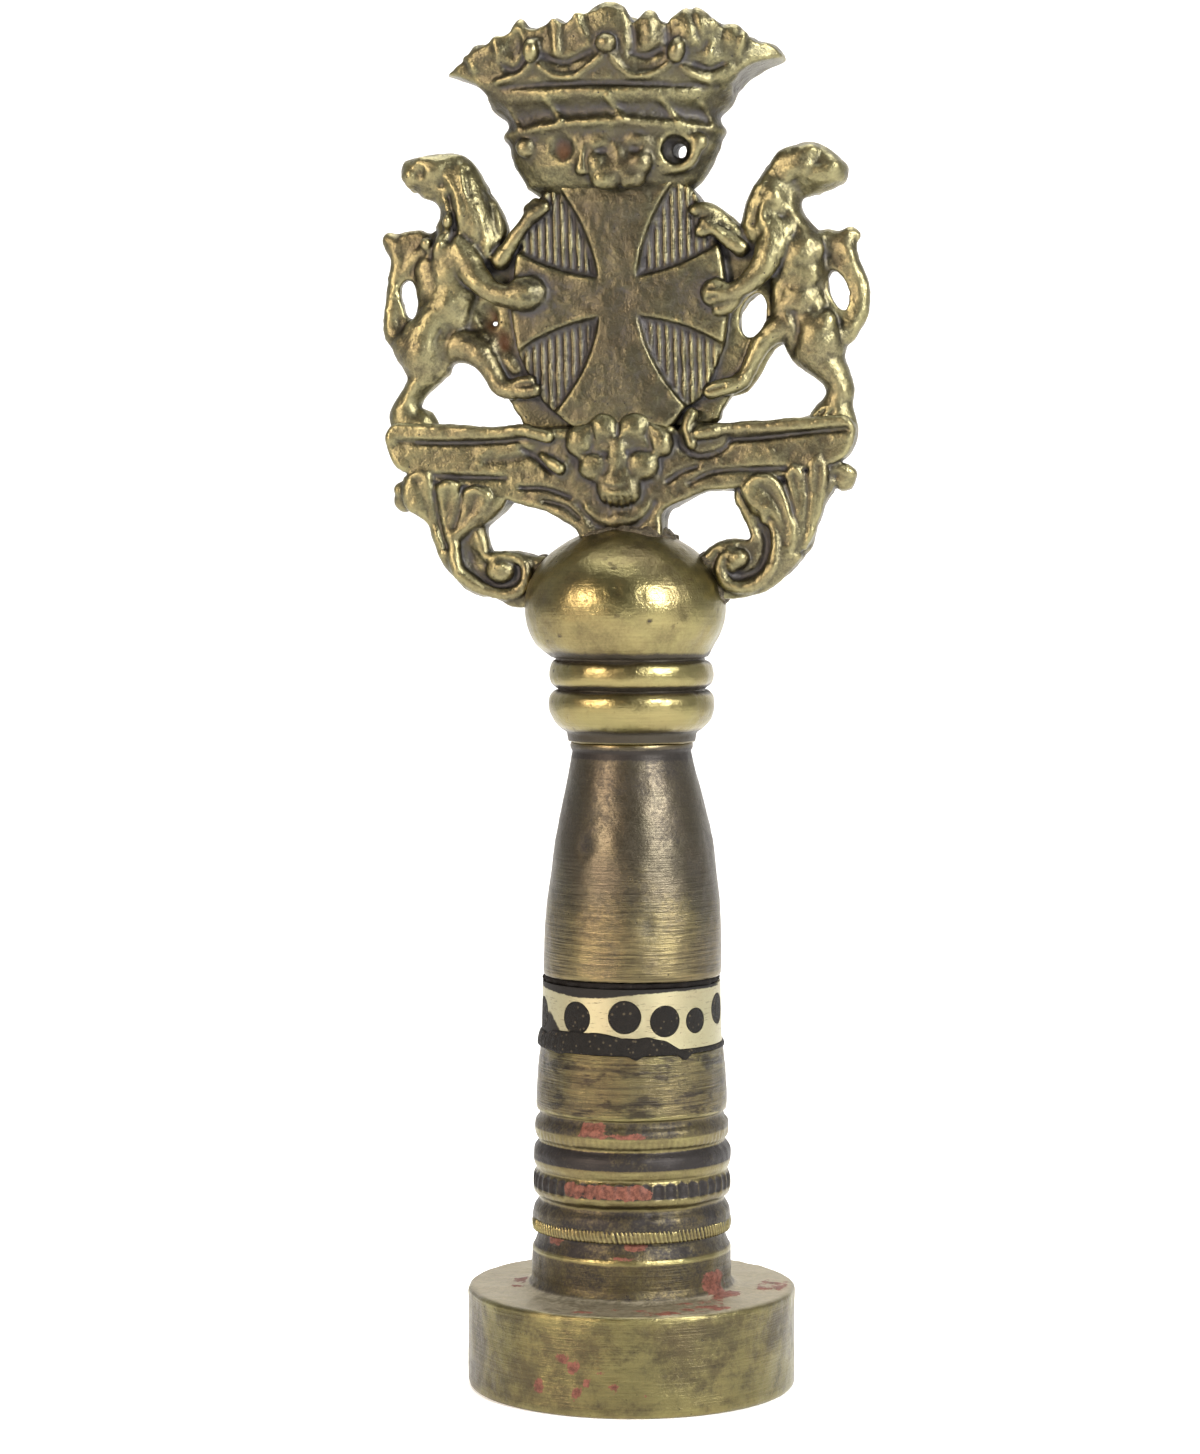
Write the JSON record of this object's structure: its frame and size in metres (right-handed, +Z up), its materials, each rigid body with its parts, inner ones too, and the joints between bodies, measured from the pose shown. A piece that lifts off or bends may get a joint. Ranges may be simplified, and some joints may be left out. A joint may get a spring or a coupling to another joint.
{
  "type": "wax seal stamp",
  "caption": "Antique brass wax seal stamp: engraved round die on a ringed stem, dotted pale collar, tapered screw-on handle, ball knop and a pierced crest of crown, shield and lions.",
  "frame": {"origin": "middle of the die's engraved face, on the stem's axis", "axes": "+Z up the stem and handle, the crest's front faces -Y, +X to the right seen from the front"},
  "size_m": [0.0331, 0.022, 0.0924],
  "materials": {
    "aged_brass": "olive-brown aged brass, worn golden on the edges",
    "stud_brass": "clean cut brass",
    "pitch": "dull black pitch",
    "pale_brass": "pale filed brass",
    "washer_leather": "dark worn leather",
    "brown_brass": "brown patina with fine turning lines",
    "cast_brass": "cast brass, dark in the recesses and worn golden on the high spots",
    "solder": "gritty tarnished solder"
  },
  "bodies": {
    "die": {"die_stem": "aged_brass", "stud": "stud_brass", "pitch_bed": "pitch", "collar": "pale_brass", "collar_dots": "pitch"},
    "washer": {"seam_washer": "washer_leather"},
    "handle": {"baluster": "brown_brass", "knop": "aged_brass", "crest": "cast_brass", "solder_seam": "solder"}
  },
  "joints": [
    {"name": "handle_turn", "type": "hinge", "parent": "die", "child": "washer", "pos_m": [0, 0, 0.0277], "axis": [0, 0, 1], "range_deg": [0, 1800]},
    {"name": "handle_rise", "type": "slide", "parent": "washer", "child": "handle", "axis": [0, 0, 1], "range_m": [0, 0.005]}
  ],
  "couplings": [
    {"joint": "handle_turn", "follows": "handle_rise", "rad_per_m": 6283.2}
  ]
}
